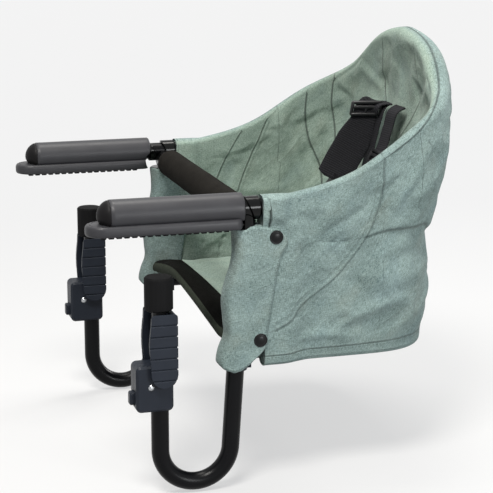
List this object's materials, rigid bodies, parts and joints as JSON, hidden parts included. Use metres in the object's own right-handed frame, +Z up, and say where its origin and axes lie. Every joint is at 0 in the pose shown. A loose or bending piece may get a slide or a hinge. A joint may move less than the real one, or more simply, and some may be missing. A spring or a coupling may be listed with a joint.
{
  "type": "hook-on table chair",
  "caption": "Hook-on table chair: padded fabric bucket on a tube frame, with arms that lie on the table top and lever jacks that press up from below.",
  "frame": {"origin": "on the table top plane, at the table edge, on the mid-plane between the arms", "axes": "-Y points over the table, the way the sitter faces; +X is the sitter's left; +Z up"},
  "size_m": [0.4344, 0.4755, 0.4929],
  "materials": {
    "tube_black": "satin black powder coat",
    "grip_grey": "satin charcoal moulding",
    "rubber_black": "matt black rubber",
    "gloss_black": "glossy black moulding",
    "clamp_plastic": "satin blue-black moulding",
    "lever_rubber": "matt ribbed rubber",
    "steel": "zinc-plated steel",
    "rivet_steel": "bright rivet",
    "foam_black": "matt closed-cell foam",
    "fabric_green": "padded melange weave, sage green",
    "webbing_black": "woven black webbing",
    "board_black": "black board"
  },
  "bodies": {
    "seat_frame": {"corner_joint_left": "gloss_black", "leg_tube_left": "tube_black", "leg_bracket_left": "clamp_plastic", "clamp_housing_outer_left": "clamp_plastic", "clamp_housing_inner_left": "clamp_plastic", "pawl_pin_left": "rivet_steel", "pawl_spring_left": "steel", "leg_sleeve_left": "fabric_green", "side_panel_left": "fabric_green", "shoulder_strap_left": "webbing_black", "strap_slider_left": "clamp_plastic", "buckle_tongue_left": "clamp_plastic", "waist_strap_left": "webbing_black", "snap_upper_left": "gloss_black", "snap_lower_left": "gloss_black", "corner_joint_right": "gloss_black", "leg_tube_right": "tube_black", "leg_bracket_right": "clamp_plastic", "clamp_housing_outer_right": "clamp_plastic", "clamp_housing_inner_right": "clamp_plastic", "pawl_pin_right": "rivet_steel", "pawl_spring_right": "steel", "leg_sleeve_right": "fabric_green", "side_panel_right": "fabric_green", "shoulder_strap_right": "webbing_black", "strap_slider_right": "clamp_plastic", "buckle_tongue_right": "clamp_plastic", "waist_strap_right": "webbing_black", "snap_upper_right": "gloss_black", "snap_lower_right": "gloss_black", "crossbar_tube": "tube_black", "crossbar_foam": "foam_black", "rim_hoop": "steel", "base_hoop": "tube_black", "seat_board": "board_black", "seat_cushion": "fabric_green", "back_panel": "fabric_green", "crotch_strap": "webbing_black", "buckle_body": "clamp_plastic"},
    "arm_left": {"arm_tube_left": "tube_black", "arm_grip_left": "grip_grey", "grip_pad_left": "rubber_black", "arm_collar_left": "gloss_black"},
    "jack_left": {"jack_column_left": "steel", "clamp_pad_left": "rubber_black"},
    "lever_left": {"lever_core_left": "clamp_plastic", "lever_skin_left": "lever_rubber"},
    "pawl_left": {"pawl_left": "steel"},
    "button_left": {"release_button_left": "clamp_plastic"},
    "arm_right": {"arm_tube_right": "tube_black", "arm_grip_right": "grip_grey", "grip_pad_right": "rubber_black", "arm_collar_right": "gloss_black"},
    "jack_right": {"jack_column_right": "steel", "clamp_pad_right": "rubber_black"},
    "lever_right": {"lever_core_right": "clamp_plastic", "lever_skin_right": "lever_rubber"},
    "pawl_right": {"pawl_right": "steel"},
    "button_right": {"release_button_right": "clamp_plastic"},
    "harness_button": {"buckle_button": "gloss_black"}
  },
  "joints": [
    {"name": "arm_left_pull", "type": "slide", "parent": "seat_frame", "child": "arm_left", "axis": [0, -1, 0], "range_m": [0, 0.022]},
    {"name": "jack_left_lift", "type": "slide", "parent": "seat_frame", "child": "jack_left", "axis": [0, 0, 1], "range_m": [0, 0.025]},
    {"name": "lever_left_swing", "type": "hinge", "parent": "seat_frame", "child": "lever_left", "pos_m": [0.195, -0.079, -0.155], "axis": [-1, 0, 0], "range_deg": [0, 36]},
    {"name": "button_left_press", "type": "slide", "parent": "seat_frame", "child": "button_left", "axis": [0, 1, 0], "range_m": [0, 0.003], "stiffness_N_per_m": 700},
    {"name": "pawl_left_turn", "type": "hinge", "parent": "seat_frame", "child": "pawl_left", "pos_m": [0.195, -0.093, -0.17], "axis": [1, 0, 0], "range_deg": [0, 12.5], "deforming": ["pawl_spring_left"]},
    {"name": "arm_right_pull", "type": "slide", "parent": "seat_frame", "child": "arm_right", "axis": [0, -1, 0], "range_m": [-0.0146, 0.0074]},
    {"name": "jack_right_lift", "type": "slide", "parent": "seat_frame", "child": "jack_right", "axis": [0, 0, 1], "range_m": [0, 0.025]},
    {"name": "lever_right_swing", "type": "hinge", "parent": "seat_frame", "child": "lever_right", "pos_m": [-0.195, -0.079, -0.155], "axis": [-1, 0, 0], "range_deg": [0, 36]},
    {"name": "button_right_press", "type": "slide", "parent": "seat_frame", "child": "button_right", "axis": [0, 1, 0], "range_m": [0, 0.003], "stiffness_N_per_m": 700},
    {"name": "pawl_right_turn", "type": "hinge", "parent": "seat_frame", "child": "pawl_right", "pos_m": [-0.195, -0.093, -0.17], "axis": [1, 0, 0], "range_deg": [0, 12.5], "deforming": ["pawl_spring_right"]},
    {"name": "harness_button_press", "type": "slide", "parent": "seat_frame", "child": "harness_button", "axis": [0, 1, 0], "range_m": [0, 0.002], "stiffness_N_per_m": 800}
  ],
  "couplings": [
    {"joint": "pawl_left_turn", "follows": "button_left_press", "rad_per_m": 71.429},
    {"joint": "pawl_right_turn", "follows": "button_right_press", "rad_per_m": 71.429}
  ]
}
